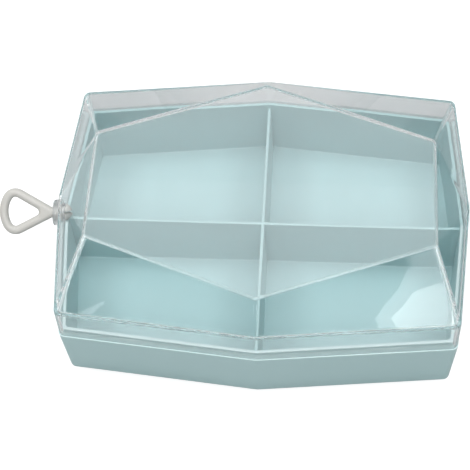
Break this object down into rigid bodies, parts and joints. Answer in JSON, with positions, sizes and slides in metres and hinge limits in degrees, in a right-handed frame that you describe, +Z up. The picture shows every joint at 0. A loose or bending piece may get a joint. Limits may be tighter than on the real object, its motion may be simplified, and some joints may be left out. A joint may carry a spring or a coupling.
{
  "type": "compartment storage box",
  "caption": "Flat pocket storage box: an opaque tray split into compartments by crossed walls, a clear faceted lid pressed over its lip, and a swivelling eye to hang it by.",
  "frame": {"origin": "centre of the tray's flat underside", "axes": "+X along the box, away from the hanging eye; +Y across it towards the back; +Z up"},
  "size_m": [0.139, 0.0904, 0.0409],
  "materials": {
    "tray_plastic": "opaque grey-teal moulded plastic, satin",
    "clear_plastic": "clear colourless moulded plastic, polished",
    "loop_plastic": "warm white moulded plastic, satin"
  },
  "bodies": {
    "base": {"base_tray": "tray_plastic"},
    "cover": {"lid": "clear_plastic"},
    "loop": {"hang_loop": "loop_plastic"}
  },
  "joints": [
    {"name": "lid_lift", "type": "slide", "parent": "base", "child": "cover", "axis": [0, 0, 1], "range_m": [0, 0.06]},
    {"name": "loop_swivel", "type": "hinge", "parent": "cover", "child": "loop", "pos_m": [-0.06, 0, 0.0244], "axis": [1, 0, 0], "continuous": true}
  ]
}
